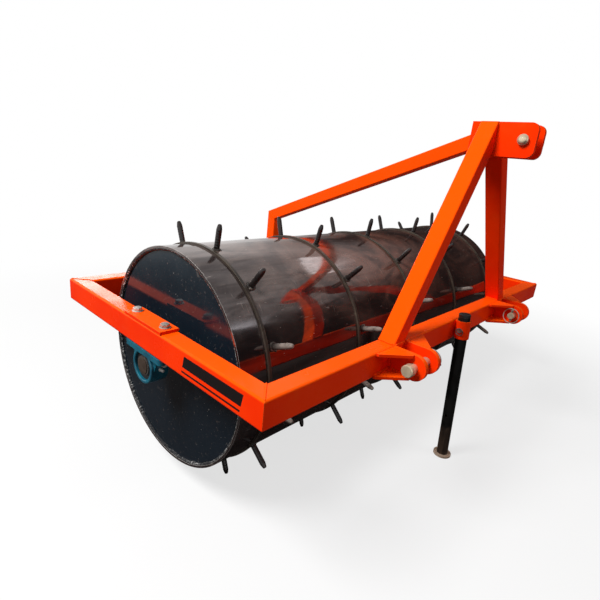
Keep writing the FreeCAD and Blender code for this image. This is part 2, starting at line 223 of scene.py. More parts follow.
# ---------------------------------------------------------------- materials
class Graph:
    """A material's nodes, added one line at a time."""

    def __init__(self, name):
        self.material = bpy.data.materials.new(name)
        self.material.use_nodes = True
        self.tree = self.material.node_tree
        self.tree.nodes.clear()
        self.out = self.add("ShaderNodeOutputMaterial")
        self.shader = self.add("ShaderNodeBsdfPrincipled")
        self.join(self.shader.outputs[0], self.out.inputs[0])
        self.place = self.add("ShaderNodeTexCoord").outputs["Object"]

    def add(self, kind, **settings):
        node = self.tree.nodes.new(kind)
        for key, value in settings.items():
            setattr(node, key, value)
        return node

    def join(self, output, socket):
        self.tree.links.new(output, socket)

    def put(self, socket, value):
        if isinstance(value, bpy.types.NodeSocket):
            self.join(value, socket)
        else:
            socket.default_value = value

    def xyz(self, vector):
        """The three components of a vector."""
        node = self.add("ShaderNodeSeparateXYZ")
        self.join(vector, node.inputs[0])
        return node.outputs

    def noise(self, scale, detail=3.0, roughness=0.5, stretch=None, distortion=0.0):
        """Noise from 0 to 1; stretch gives the finer axes a larger number."""
        place = self.place
        if stretch:
            mapping = self.add("ShaderNodeMapping")
            self.join(place, mapping.inputs["Vector"])
            mapping.inputs["Scale"].default_value = stretch
            place = mapping.outputs[0]
        node = self.add("ShaderNodeTexNoise")
        self.join(place, node.inputs["Vector"])
        node.inputs["Scale"].default_value = scale
        node.inputs["Detail"].default_value = detail
        node.inputs["Roughness"].default_value = roughness
        node.inputs["Distortion"].default_value = distortion
        return node.outputs["Fac"]

    def band(self, value, low, high, out_low=0.0, out_high=1.0):
        """Values from low to high spread over out_low to out_high, and held outside."""
        node = self.add("ShaderNodeMapRange", interpolation_type="SMOOTHSTEP")
        self.put(node.inputs["Value"], value)
        for key, number in (("From Min", low), ("From Max", high),
                            ("To Min", out_low), ("To Max", out_high)):
            node.inputs[key].default_value = number
        return node.outputs[0]

    def between(self, value, low, high, soft=0.0004):
        """1 from low to high, 0 outside."""
        return self.times(self.band(value, low, low + soft),
                          self.band(value, high - soft, high, 1.0, 0.0))

    def maths(self, operation, a, b=0.0):
        node = self.add("ShaderNodeMath", operation=operation)
        self.put(node.inputs[0], a)
        self.put(node.inputs[1], b)
        return node.outputs[0]

    def times(self, first, *others):
        for other in others:
            first = self.maths("MULTIPLY", first, other)
        return first

    def mix(self, share, a, b):
        node = self.add("ShaderNodeMix", data_type="RGBA")
        self.put(node.inputs["Factor"], share)
        for socket, colour in ((node.inputs[6], a), (node.inputs[7], b)):
            is_socket = isinstance(colour, bpy.types.NodeSocket)
            self.put(socket, colour if is_socket else (*colour[:3], 1.0))
        return node.outputs[2]

    def lay(self, colour, tone, mask, share):
        """A tone laid over a colour where the mask is 1, at the share given."""
        return self.mix(self.times(mask, share), colour, tone)

    def bump(self, height, strength, distance, below=None):
        node = self.add("ShaderNodeBump")
        node.inputs["Strength"].default_value = strength
        node.inputs["Distance"].default_value = distance
        self.join(height, node.inputs["Height"])
        if below is not None:
            self.join(below, node.inputs["Normal"])
        return node.outputs[0]

    def soft_edges(self, radius):
        node = self.add("ShaderNodeBevel", samples=4)
        node.inputs["Radius"].default_value = radius
        return node.outputs[0]

    def normal(self):
        return self.add("ShaderNodeNewGeometry").outputs["Normal"]

    def edge_mask(self, radius):
        """1 along sharp edges, 0 on flats."""
        dot = self.add("ShaderNodeVectorMath", operation="DOT_PRODUCT")
        self.join(self.soft_edges(radius), dot.inputs[0])
        self.join(self.normal(), dot.inputs[1])
        return self.band(self.maths("SUBTRACT", 1.0, dot.outputs["Value"]), 0.01, 0.12)

    def faces_up(self):
        """1 on faces that face up, which take the lighter orange of painted light from above."""
        return self.band(self.xyz(self.normal())["Z"], 0.05, 0.55)

    def blend(self, share, first, second):
        """Shows the first shader where the share is 0 and the second where it is 1."""
        node = self.add("ShaderNodeMixShader")
        self.put(node.inputs[0], share)
        self.join(first.outputs[0], node.inputs[1])
        self.join(second.outputs[0], node.inputs[2])
        self.join(node.outputs[0], self.out.inputs[0])

    def finish(self, colour, roughness, normal=None, **fixed):
        self.put(self.shader.inputs["Base Color"], colour)
        self.put(self.shader.inputs["Roughness"], roughness)
        if normal is not None:
            self.join(normal, self.shader.inputs["Normal"])
        for key, value in fixed.items():
            self.put(self.shader.inputs[key.replace("_", " ")], value)
        return self.material


# painted shade: deeper red tones for faces turned from the light; painted light: a lighter orange
# for faces lit from above
ORANGE_SHADED = ((0.87, 0.024, 0.0006), (0.95, 0.037, 0.0008))
ORANGE_PAINTED_LIT = (0.95, 0.078, 0.0010)
ORANGE_DUST = (0.72, 0.17, 0.03)
ORANGE_SCRATCH = (0.97, 0.30, 0.12)
ORANGE_EDGE_HIGHLIGHT = (1.0, 0.26, 0.06)
ORANGE_GLOSS = (1.0, 0.55, 0.2, 1.0)
STRIPE_BLACK = (0.012, 0.009, 0.009)
STRIPE_SLANT = 0.22                         # how far a stripe's ends lean, per metre of height


def make_frame_paint(name, stripes=(), painted_lit=0.0):
    """Glossy orange paint with painted light and shade: lighter orange where it faces up, deeper
    red elsewhere; stripes are dark bars on the left face.
    """
    g = Graph(name)
    shaded = g.mix(g.band(g.noise(2.4, 4), 0.35, 0.65), *ORANGE_SHADED)
    # painted light: up-facing faces, and a set share of every face, take the lighter orange
    colour = g.mix(g.maths("MAXIMUM", g.faces_up(), painted_lit), shaded, ORANGE_PAINTED_LIT)
    colour = g.lay(colour, ORANGE_DUST, g.band(g.noise(9, 8, 0.65), 0.52, 0.78), 0.10)
    scratch = g.band(g.noise(38, 3, 0.6, (1.0, 6.0, 9.0)), 0.735, 0.76)
    colour = g.lay(colour, ORANGE_SCRATCH, scratch, 0.35)
    # painted highlight: a paler orange along the sharp edges
    colour = g.lay(colour, ORANGE_EDGE_HIGHLIGHT, g.edge_mask(0.0018), 0.32)
    if stripes:
        x, y, z = g.xyz(g.place)
        slanted = g.maths("ADD", y, g.times(z, STRIPE_SLANT))
        outer_face = g.band(x, cad_low.x + 0.0004, cad_low.x + 0.0009, 1.0, 0.0)
        for y_low, y_high, z_low, z_high in stripes:
            inside = g.times(g.between(slanted, y_low, y_high), g.between(z, z_low, z_high))
            colour = g.lay(colour, STRIPE_BLACK, inside, outer_face)
    roughness = g.band(g.noise(7, 5, 0.6), 0.3, 0.7, 0.14, 0.30)
    wave = g.bump(g.noise(22, 2), 0.12, 0.001, g.soft_edges(0.0014))
    peel = g.bump(g.noise(420, 2), 0.10, 0.0003, wave)
    return g.finish(colour, roughness, peel, IOR=1.28, Specular_IOR_Level=0.3,
                    Specular_Tint=ORANGE_GLOSS)


DRUM_STREAK = (0.19, 0.145, 0.115)          # soil rubbed along the drum
DRUM_RUB = (0.24, 0.20, 0.17)               # paler rubs round it
DRUM_SCRAPE = (0.30, 0.26, 0.24)
DRUM_SPECK = (0.26, 0.23, 0.20)
DRUM_EDGE_HIGHLIGHT = (0.50, 0.47, 0.44)


def make_drum_paint(name, dark, hazes, haze_share, tints, ior, gloss, dulled, waviness):
    """Glossy black paint with a haze on its upper side, rubbed streaks and specks.

    The haze and the gloss have one tone each, or one at the drum's left and one at its right.
    Gloss is the specular level; dulled says how much it drops in patches.
    """
    g = Graph(name)
    x, _, z = g.xyz(g.place)

    def along(tones):
        return (*tones[0], 1.0) if len(tones) == 1 else g.mix(g.band(x, -0.90, 0.15), *tones)

    # the haze thins towards the drum's underside and towards its right, so the drum is darker low
    # down and at the right
    thins_downward = g.band(z, axle.z + 0.02, axle.z + 0.30, 0.12, 1.0)
    cloud = g.band(g.noise(3.4, 7, 0.62, (1.0, 1.5, 1.5), 0.8), 0.40, 0.60, 0.14, 1.05)
    inner = g.band(g.maths("ABSOLUTE", x), band_x - 0.02, band_x + 0.02, 1.0, 0.55)
    thins_rightward = g.band(x, 0.0, 0.55, 1.0, 0.45)
    haze = g.times(cloud, thins_downward, inner, thins_rightward, haze_share)
    colour = g.mix(haze, dark, along(hazes))
    streak = g.band(g.noise(26, 4, 0.7, (0.35, 3.0, 3.0)), 0.60, 0.74)
    colour = g.lay(colour, DRUM_STREAK, streak, 0.40)
    rub = g.band(g.noise(30, 3, 0.6, (5.0, 0.45, 0.45)), 0.65, 0.72)
    colour = g.lay(colour, DRUM_RUB, rub, 0.28)
    scrape = g.band(g.noise(34, 3, 0.6, (0.5, 3.6, 3.6), 0.8), 0.70, 0.73)
    colour = g.lay(colour, DRUM_SCRAPE, scrape, 0.45)
    speck = g.band(g.noise(95, 2, 0.5), 0.735, 0.77)
    colour = g.lay(colour, DRUM_SPECK, speck, 0.5)
    # painted highlight: a pale line along the sharp edges
    colour = g.lay(colour, DRUM_EDGE_HIGHLIGHT, g.edge_mask(0.002), 0.8)
    smears = g.band(g.noise(5.2, 6, 0.6), 0.35, 0.75, 0.04, 0.19)
    roughness = g.maths("ADD", smears, g.times(speck, 0.35))
    dents = g.noise(2.6, 2, 0.45, (1.0, 1.0, 1.0), 0.5)
    surface = g.bump(dents, waviness, 0.012, g.soft_edges(0.002))
    rolled = g.noise(7.0, 1, 0.4, (0.45, 2.2, 2.2), 0.4)
    surface = g.bump(rolled, waviness * 1.9, 0.004, surface)
    surface = g.bump(g.noise(160, 2), 0.04, 0.0004, surface)
    sheen = g.band(g.noise(10.0, 6, 0.66, (0.40, 2.6, 2.6), 0.6), 0.36, 0.62,
                   gloss * (1 - dulled), gloss * (1 + dulled * 0.5))
    return g.finish(colour, roughness, surface, IOR=ior, Specular_IOR_Level=sheen,
                    Specular_Tint=along(tints))


def make_metal(name, light, dark, grime, rough, metallic=1.0, grain=90, grain_depth=0.15):
    """Bare or plated steel in two tones, with spots of grime."""
    g = Graph(name)
    colour = g.mix(g.band(g.noise(24, 5, 0.6), 0.32, 0.7), light, dark)
    colour = g.lay(colour, grime, g.band(g.noise(70, 6, 0.7), 0.55, 0.72), 0.6)
    roughness = g.band(g.noise(42, 4), 0.3, 0.7, *rough)
    surface = g.bump(g.noise(grain, 4, 0.6), grain_depth, 0.0006, g.soft_edges(0.0006))
    return g.finish(colour, roughness, surface, Metallic=metallic)


def make_coat(name, light, dark, worn, rough, wear=0.4, scale=9.0, coat=0.0):
    """Paint, rubber or plastic that is worn along its edges."""
    g = Graph(name)
    colour = g.mix(g.band(g.noise(scale, 5, 0.6), 0.35, 0.68), light, dark)
    colour = g.lay(colour, worn, g.band(g.noise(scale * 5, 5, 0.7), 0.62, 0.70), wear * 0.6)
    colour = g.lay(colour, worn, g.edge_mask(0.0015), wear)
    roughness = g.band(g.noise(scale * 2, 4), 0.3, 0.7, *rough)
    surface = g.bump(g.noise(140, 3, 0.6), 0.12, 0.0005, g.soft_edges(0.0012))
    return g.finish(colour, roughness, surface, Coat_Weight=coat)


def make_spike_look():
    """Black bars, those on the drum's forward side painted paler grey in patches, a painted
    highlight for the light they catch from the front.
    """
    g = Graph("spike_look")
    black = g.mix(g.band(g.noise(16, 5, 0.6), 0.35, 0.68),
                  (0.005, 0.004, 0.004), (0.018, 0.013, 0.012))
    # painted light: paler grey on the spikes of the drum's forward side
    forward_painted_light = g.band(g.xyz(g.place)["Y"], axle.y - 0.37, axle.y - 0.33, 1.0, 0.0)
    patchy = g.band(g.noise(42, 4, 0.6), 0.36, 0.56, 0.30, 1.0)
    colour = g.lay(black, (0.19, 0.155, 0.135), forward_painted_light, patchy)
    colour = g.lay(colour, (0.24, 0.20, 0.17), g.edge_mask(0.0015), 0.45)
    roughness = g.band(g.noise(32, 4), 0.3, 0.7, 0.20, 0.40)
    surface = g.bump(g.noise(140, 3, 0.6), 0.12, 0.0005, g.soft_edges(0.0012))
    return g.finish(colour, roughness, surface)


def make_stand_paint():
    """Black leg tube, rubbed to brown steel towards its lower end."""
    g = Graph("stand_leg_look")
    rubbed = g.times(g.noise(30, 5, 0.65, (1, 1, 0.3)), 0.06)
    bare = g.band(g.maths("ADD", g.xyz(g.place)["Z"], rubbed), 0.145, 0.165, 1.0, 0.0)
    black = g.mix(g.band(g.noise(14, 4), 0.4, 0.7), (0.003, 0.003, 0.003), (0.010, 0.009, 0.008))
    steel = g.mix(g.band(g.noise(36, 5, 0.6, (1, 1, 0.25)), 0.35, 0.7),
                  (0.060, 0.038, 0.026), (0.014, 0.010, 0.008))
    colour = g.lay(g.mix(bare, black, steel), (0.16, 0.11, 0.08), g.edge_mask(0.0015), 0.5)
    roughness = g.band(g.noise(20, 4), 0.3, 0.7, 0.30, 0.5)
    surface = g.bump(g.noise(150, 3), 0.12, 0.0005, g.soft_edges(0.0012))
    return g.finish(colour, roughness, surface, IOR=1.3)


def make_rim_weld():
    """Dark weld with bright bare lumps here and there."""
    g = Graph("rim_weld_look")
    dark = g.mix(g.band(g.noise(60, 4), 0.4, 0.65), (0.012, 0.013, 0.015), (0.045, 0.045, 0.048))
    lumps = g.band(g.noise(150, 3, 0.6), 0.56, 0.63)
    patch = g.band(g.noise(3.5, 2), 0.40, 0.60)
    colour = g.lay(dark, (0.66, 0.65, 0.63), lumps, patch)
    roughness = g.band(g.noise(42, 4), 0.3, 0.7, 0.34, 0.58)
    surface = g.bump(g.noise(300, 4, 0.6), 0.35, 0.0006)
    return g.finish(colour, roughness, surface, Metallic=0.45)


frame_paint = make_frame_paint("frame_paint_look")
# painted light: the brace and its post take mostly the lighter orange on all their faces
brace_paint = make_frame_paint("brace_paint_look", painted_lit=0.75)
STRIPES_START, STRIPES_END = front_y + 0.190, front_y + 0.432
striped_paint = make_frame_paint("striped_paint_look", [
    (STRIPES_START, STRIPES_END, beam_bottom + 0.030, beam_bottom + 0.064),
    (STRIPES_START, STRIPES_END, beam_bottom + 0.014, beam_bottom + 0.020)])
# painted reflection: the drum's gloss is tinted red towards its right, for the orange frame's
# reflection there
drum_paint = make_drum_paint(
    "drum_shell_look", dark=(0.006, 0.0035, 0.0045),
    hazes=((0.112, 0.084, 0.072), (0.165, 0.068, 0.048)), haze_share=0.75,
    tints=((1.0, 0.88, 0.86), (1.0, 0.62, 0.54)), ior=2.0, gloss=0.76, dulled=0.46, waviness=0.24)
end_paint = make_drum_paint(
    "drum_end_look", dark=(0.005, 0.010, 0.016),
    hazes=((0.014, 0.023, 0.031),), haze_share=0.7,
    tints=((0.85, 0.94, 1.0),), ior=1.5, gloss=0.5, dulled=0.15, waviness=0.03)
band_look = make_coat("drum_band_look", light=(0.020, 0.015, 0.012), dark=(0.050, 0.038, 0.028),
                      worn=(0.24, 0.19, 0.14), rough=(0.25, 0.42), wear=0.55)
spike_look = make_spike_look()
spike_weld_look = make_coat("spike_weld_look", light=(0.012, 0.010, 0.009),
                            dark=(0.050, 0.040, 0.033), worn=(0.42, 0.38, 0.34),
                            rough=(0.3, 0.55), wear=0.7, scale=42.0)
bearing_look = make_coat("bearing_look", light=(0.003, 0.115, 0.170), dark=(0.002, 0.055, 0.092),
                         worn=(0.03, 0.30, 0.38), rough=(0.22, 0.42), wear=0.5, scale=20.0,
                         coat=0.35)
seal_look = make_coat("seal_look", light=(0.008, 0.008, 0.009), dark=(0.016, 0.016, 0.017),
                      worn=(0.05, 0.05, 0.05), rough=(0.45, 0.65), wear=0.3, scale=30.0)
plug_look = make_coat("plug_look", light=(0.003, 0.003, 0.003), dark=(0.007, 0.006, 0.006),
                      worn=(0.12, 0.10, 0.10), rough=(0.32, 0.50), wear=0.5, scale=30.0)
bare_steel = make_metal("bare_steel_look", light=(0.26, 0.24, 0.22), dark=(0.085, 0.075, 0.070),
                        grime=(0.035, 0.026, 0.022), rough=(0.28, 0.45), metallic=0.8)
shaft_look = make_metal("shaft_look", light=(0.16, 0.115, 0.085), dark=(0.075, 0.052, 0.040),
                        grime=(0.05, 0.030, 0.020), rough=(0.42, 0.62), metallic=0.75,
                        grain=160, grain_depth=0.3)
bolt_look = make_metal("bolt_look", light=(0.78, 0.73, 0.68), dark=(0.42, 0.37, 0.33),
                       grime=(0.20, 0.14, 0.10), rough=(0.22, 0.42), metallic=0.6)
wire_look = make_metal("wire_look", light=(0.30, 0.245, 0.205), dark=(0.085, 0.062, 0.048),
                       grime=(0.04, 0.026, 0.020), rough=(0.28, 0.46), metallic=0.6)
linch_look = make_metal("linch_look", light=(0.66, 0.58, 0.50), dark=(0.36, 0.29, 0.23),
                        grime=(0.20, 0.14, 0.10), rough=(0.24, 0.42), metallic=0.6)
zinc_look = make_metal("zinc_look", light=(0.84, 0.82, 0.78), dark=(0.62, 0.61, 0.58),
                       grime=(0.42, 0.38, 0.32), rough=(0.24, 0.42), metallic=0.45)
pin_look = make_metal("pin_look", light=(0.74, 0.62, 0.43), dark=(0.52, 0.43, 0.30),
                      grime=(0.34, 0.25, 0.14), rough=(0.26, 0.42), metallic=0.55)
rim_weld_look = make_rim_weld()
foot_look = make_metal("foot_look", light=(0.60, 0.44, 0.33), dark=(0.36, 0.24, 0.165),
                       grime=(0.18, 0.095, 0.055), rough=(0.45, 0.7), metallic=0.25,
                       grain=200, grain_depth=0.3)
stand_look = make_stand_paint()


def dress(material, *names):
    for name in names:
        nodes[name].data.materials.clear()
        nodes[name].data.materials.append(material)


def both(*names):
    return [name + "_" + side_name for name in names for side_name, _ in SIDES]


dress(frame_paint, "front_beam", "rear_beam", "side_beam_right", "stand_socket",
      *both("cap_plate", "mast_leg", "top_lug", "lower_lugs", "lower_gussets"))
dress(striped_paint, "side_beam_left")
dress(brace_paint, "top_brace", "brace_post")
dress(bearing_look, *both("bearing_housing"))
dress(drum_paint, "drum_shell")
dress(end_paint, *both("drum_end"))
dress(shaft_look, *both("axle_stub"))
dress(bare_steel, *both("bearing_ring"))
dress(band_look, *["drum_band_%d" % i for i in RINGS])
dress(spike_look, *["spike_ring_%d" % i for i in RINGS])
dress(pin_look, "top_pin", *both("lower_pin"))
dress(wire_look, "stand_pin")
dress(stand_look, "stand_leg")
dress(foot_look, "stand_foot")
dress(plug_look, "stand_cap")


# ------------------------------------------------------------------- spikes
SPIKE_RADIUS = 0.0092
SPIKE_ROOT = 0.004          # how far the bar runs into the shell
SPIKE_POINT = 0.0165        # length of its tapered end
SPIKE_ROW = 0.0017          # spacing of the rings of points along it
SPIKE_TAPER = ((0.0089, 0.0155), (0.0083, 0.0120), (0.0075, 0.0080), (0.0066, 0.0045),
               (0.0056, 0.0018), (0.0044, 0.0005), (0.0022, 0.0001))    # radius, from the tip
RIB_PITCH = 0.0088
RIB_HEIGHT = 0.0007
SPIKE_BEAD = 0.0034
SPIKE_BEAD_CIRCLE = 0.0104


def spike_directions(ring):
    """The angles about the axle at which a CAD ring's spikes point, and how far they reach."""
    spokes = [Vector((0, v.co.y - axle.y, v.co.z - axle.z)) for v in nodes[ring].data.vertices]
    reach = max(r.length for r in spokes)
    angles = sorted(math.atan2(r.z, r.y) for r in spokes if r.length > reach - 0.0015)
    groups = [[angles[0]]]
    for a in angles[1:]:
        if a - groups[-1][-1] > 0.2:
            groups.append([])
        groups[-1].append(a)
    return [sum(g) / len(g) for g in groups], reach


def spike_profile(length):
    rows, h = [(SPIKE_RADIUS, -SPIKE_ROOT)], 0.0
    while h < length - SPIKE_POINT:
        rows.append((SPIKE_RADIUS, h))
        h += SPIKE_ROW
    return rows + [(radius, length - short) for radius, short in SPIKE_TAPER]


def ribbed(length):
    """The slanted ribs and the two seams of a rolled bar, up to its taper."""
    def radius_at(radius, height, angle):
        if height < 0 or height > length - SPIKE_POINT:
            return radius
        turn = (height / RIB_PITCH + angle / (2 * math.pi) * 0.5) % 1.0
        rib = max(0.0, 1 - abs(turn - 0.5) * 5) * abs(math.sin(angle)) ** 0.7
        seam = max(0.0, 1 - abs(math.sin(angle)) * 6) * 0.5
        return radius - RIB_HEIGHT * 0.4 + RIB_HEIGHT * max(rib, seam)
    return radius_at


def add_spatter(shape, foot, out, side):
    """A lump of weld spatter on the shell, beside a spike's foot."""
    a = rng.uniform(0, 2 * math.pi)
    place = foot + (X * math.cos(a) + side * math.sin(a)) * rng.uniform(0.0115, 0.0150)
    size = rng.uniform(0.6, 1.15)
    shape.turn([(0.0035 * size, -0.001), (0.0042 * size, 0.0012), (0.0032 * size, 0.0030 * size),
                (0.0012 * size, 0.0042 * size)], place, out, 10)


def make_spikes(number):
    """Round, ribbed bars in the place of a CAD ring's eight-sided ones, and their welds."""
    ring = "spike_ring_%d" % number
    angles, reach = spike_directions(ring)
    length = reach - drum_radius
    bars, welds = Shape(), Shape()
    for angle in angles:
        out = Vector((0, math.cos(angle), math.sin(angle)))
        foot = Vector((middle_of(ring).x, axle.y, axle.z)) + out * drum_radius
        side = X.cross(out)
        spin = rng.uniform(0, math.pi)
        bars.turn(spike_profile(length), foot, out, 18, ribbed(length),
                  X * math.cos(spin) + side * math.sin(spin))
        bead(welds, circle(foot + out * 0.0004, SPIKE_BEAD_CIRCLE, 30, X, side), SPIKE_BEAD,
             closed=True, ripple=0.0060)
        for _ in range(rng.randint(1, 3)):
            add_spatter(welds, foot, out, side)
    spikes = bars.piece("spikes_%d" % number, spike_look, "drum", "spike_steel", SMOOTH_BAR)
    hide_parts(ring)
    welds.piece("spike_welds_%d" % number, spike_weld_look, "drum", "spike_steel", SMOOTH_WELD)


for ring_number in RINGS:
    make_spikes(ring_number)


# ---------------------------------------------------------------- drum ends
END_RECESS = 0.008          # how far the end plates lie inside the shell
DRUM_WALL = 0.008
RIM_CIRCLE = drum_radius - DRUM_WALL - 0.0008
HUB_CIRCLE = 0.0262


def make_end_welds(side_name, side):
    rim, hub = Shape(), Shape()
    centre = Vector((side * (drum_high.x - END_RECESS), axle.y, axle.z))
    bead(rim, circle(centre + X * side * 0.0010, RIM_CIRCLE, 240), 0.0062,
         closed=True, step=0.0030, ripple=0.0085)
    rim.piece("drum_rim_weld_" + side_name, rim_weld_look, "drum", "drum_paint", SMOOTH_WELD)
    bead(hub, circle(centre + X * side * 0.0008, HUB_CIRCLE, 40), 0.0042, closed=True)
    hub.piece("drum_hub_weld_" + side_name, rim_weld_look, "drum", "drum_paint", SMOOTH_WELD)


for side_name, side in SIDES:
    make_end_welds(side_name, side)


# ----------------------------------------------------------------- bearings
BOSS_RADIUS = 0.056
RECESS_RADIUS = 0.045
RECESS_DEPTH = 0.009
RING_RADIUS = 0.031
BOSS_HALF = 0.027           # half the boss's length along the axle
CAP_THICKNESS = 0.009
BASE_HEIGHT = 0.018
BOLT_OFFSET = 0.080         # from the axle to each bolt
NUT_FLATS = 0.024
HEAD_HEIGHT, NUT_HEIGHT = 0.0095, 0.010
WASHER_THICKNESS = 0.003
THREAD_RADIUS, THREAD_PITCH = 0.008, 0.0020


def bolt_end(shape, start, axis, length):
    """Threaded end of a bolt standing out of its nut."""
    root = THREAD_RADIUS * 0.90
    rows, h = [(root, -0.002)], 0.0
    while h < length - 0.0015:
        rows += [(THREAD_RADIUS * 0.99, h), (root, h + THREAD_PITCH / 2)]
        h += THREAD_PITCH
    rows += [(root, length - 0.0012), (THREAD_RADIUS * 0.72, length)]
    shape.turn(rows, start, axis, 28)


def washer(shape, start, axis, radius):
    shape.turn([(radius - 0.0004, 0), (radius, 0.0004), (radius, WASHER_THICKNESS - 0.0005),
                (radius - 0.0006, WASHER_THICKNESS)], start, axis, 36)


def make_bearing_bolts(side_name, side):
    """Each bolt has its head on the cap plate and its nut under the housing's foot."""
    bolts = Shape()
    for k, way in enumerate((-1, 1)):
        turned = X * math.cos(0.4 + k) + Y * math.sin(0.4 + k)
        place = Vector((side * bearing_x, axle.y + way * BOLT_OFFSET, 0))
        top = place + Z * (beam_top + CAP_THICKNESS)
        washer(bolts, top, Z, 0.0165)
        bolts.hexagon(top + Z * WASHER_THICKNESS, Z, NUT_FLATS, HEAD_HEIGHT, turned)
        mark = top + Z * (WASHER_THICKNESS + HEAD_HEIGHT - 0.0002)
        bolts.turn([(0.0062, 0.0), (0.0060, 0.0006), (0.0044, 0.0010), (0.0010, 0.0010)],
                   mark, Z, 24)
        under = place + Z * (beam_bottom - BASE_HEIGHT)
        washer(bolts, under, -Z, 0.0155)
        bolts.hexagon(under - Z * WASHER_THICKNESS, -Z, NUT_FLATS, NUT_HEIGHT, turned)
        bolt_end(bolts, under - Z * (WASHER_THICKNESS + NUT_HEIGHT), -Z, 0.004)
    bolts.piece("bearing_bolts_" + side_name, bolt_look, "frame", "zinc_steel", 32)


def make_grease_nipple(side_name, middle):
    nipple = Shape()
    foot = middle - Y * (BOSS_RADIUS - 0.002) + Z * 0.004
    nipple.hexagon(foot, -Y, 0.0125, 0.0065)
    nipple.turn([(0.0055, 0.0065), (0.0052, 0.0110), (0.0036, 0.0125), (0.0036, 0.0140),
                 (0.0050, 0.0158), (0.0048, 0.0182), (0.0026, 0.0196)], foot, -Y, 24)
    nipple.piece("grease_nipple_" + side_name, zinc_look, "frame", "zinc_steel")


def make_bearing_rings(side_name, middle, out):
    """The rubber seal in the recess, and the rounded lip of the boss round it."""
    seal, lip = Shape(), Shape()
    face = middle + out * BOSS_HALF
    section = [(RING_RADIUS + 0.0006, 0.0), (RING_RADIUS + 0.0006, 0.0022),
               (RING_RADIUS + 0.003, 0.0034), (RECESS_RADIUS - 0.0050, 0.0034),
               (RECESS_RADIUS - 0.0030, 0.0018), (RECESS_RADIUS - 0.0008, 0.0026),
               (RECESS_RADIUS - 0.0006, 0.0)]
    seal.turn(section + section[:1], face - out * RECESS_DEPTH, out, 64, caps=False)
    seal.piece("bearing_seal_" + side_name, seal_look, "frame", "bearing_paint")
    crest, half = (BOSS_RADIUS + RECESS_RADIUS) / 2, (BOSS_RADIUS - RECESS_RADIUS) / 2
    section = [(crest - half * math.cos(t), half * 0.42 * math.sin(t))
               for t in (math.pi * k / 8 for k in range(9))]
    section += [(BOSS_RADIUS - 0.0002, -0.001), (RECESS_RADIUS + 0.0002, -0.001), section[0]]
    lip.turn(section, face, out, 72, caps=False)
    lip.piece("bearing_lip_" + side_name, bearing_look, "frame", "bearing_paint")


def make_ring_screws(side_name, middle, out):
    """Two set screws in the bearing's ring, a third of a turn apart, which turn with the drum."""
    screws = Shape()
    for turn in (0.7, 0.7 + 2 * math.pi / 3):
        across = Y * math.cos(turn) + Z * math.sin(turn)
        seat = middle + out * (BOSS_HALF - 0.0055) + across * (RING_RADIUS - 0.0012)
        screws.turn([(0.0030, 0.0), (0.0030, 0.0014), (0.0024, 0.0019), (0.0016, 0.0019),
                     (0.0014, 0.0006)], seat, across, 18)
    screws.piece("ring_screws_" + side_name, bare_steel, "drum", "bare_steel")


for side_name, side in SIDES:
    middle = Vector((side * bearing_x, axle.y, axle.z))
    make_bearing_bolts(side_name, side)
    make_grease_nipple(side_name, middle)
    make_bearing_rings(side_name, middle, X * side)
    make_ring_screws(side_name, middle, X * side)


# --------------------------------------------------------------- linch pins
LINCH_INSET = 0.013         # from the hitch pin's end to the cross hole
LINCH_RADIUS = 0.0050
LINCH_RING_REACH = 0.031
LINCH_WIRE = 0.0018


def make_linch_pin(name, pin_node, inner_end, pin_radius, tilt):
    """A sprung ring pin through the cross hole at a hitch pin's inner end, 1 for +X, -1 for -X."""
    low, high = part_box(pin_node)
    end = high.x if inner_end > 0 else low.x
    hole = middle_of(pin_node)
    hole.x = end - inner_end * LINCH_INSET
    pin = Shape()
    pin.turn([(0.0022, -0.012), (0.0040, -0.0095), (LINCH_RADIUS, -0.007), (LINCH_RADIUS, 0.033),
              (0.0062, 0.035), (0.0066, 0.0385), (0.0062, 0.0430), (0.0040, 0.0450)],
             hole - Z * pin_radius, Z, 20)
    lean = inner_end * math.sin(tilt)
    loop = []
    for k in range(64):
        a = 2 * math.pi * k / 64
        spoke = X * lean * (1 - math.sin(a)) * 0.5 + Y * math.cos(a) + Z * math.sin(a)
        loop.append(hole + spoke * LINCH_RING_REACH)
    pin.tube(loop, LINCH_WIRE, loop=True)
    pin.piece(name, linch_look, "frame", "zinc_steel", 40)


make_linch_pin("linch_pin_lower_left", "lower_pin_left", 1, 0.014, 0.15)
make_linch_pin("linch_pin_lower_right", "lower_pin_right", -1, 0.014, 0.22)
make_linch_pin("linch_pin_top", "top_pin", 1, 0.0127, 0.1)


# ----------------------------------------- stand pin's ring and clip, top pin's dome
COIL_RADIUS, COIL_WIRE = 0.0135, 0.00135
COIL_STEPS, COIL_STEPS_A_TURN, COIL_RISE = 110, 52, 0.0011
CLIP_WIRE = 0.0012
CLIP_BENDS = ((0, 0.012), (0, 0.004), (0, -0.008), (-0.001, -0.016), (-0.004, -0.024),
              (-0.001, -0.030), (0.004, -0.026), (0.0075, -0.014), (0.0072, -0.004),
              (0.0078, 0.004), (0.011, 0.011))          # along Y and Z, from the pin's eye


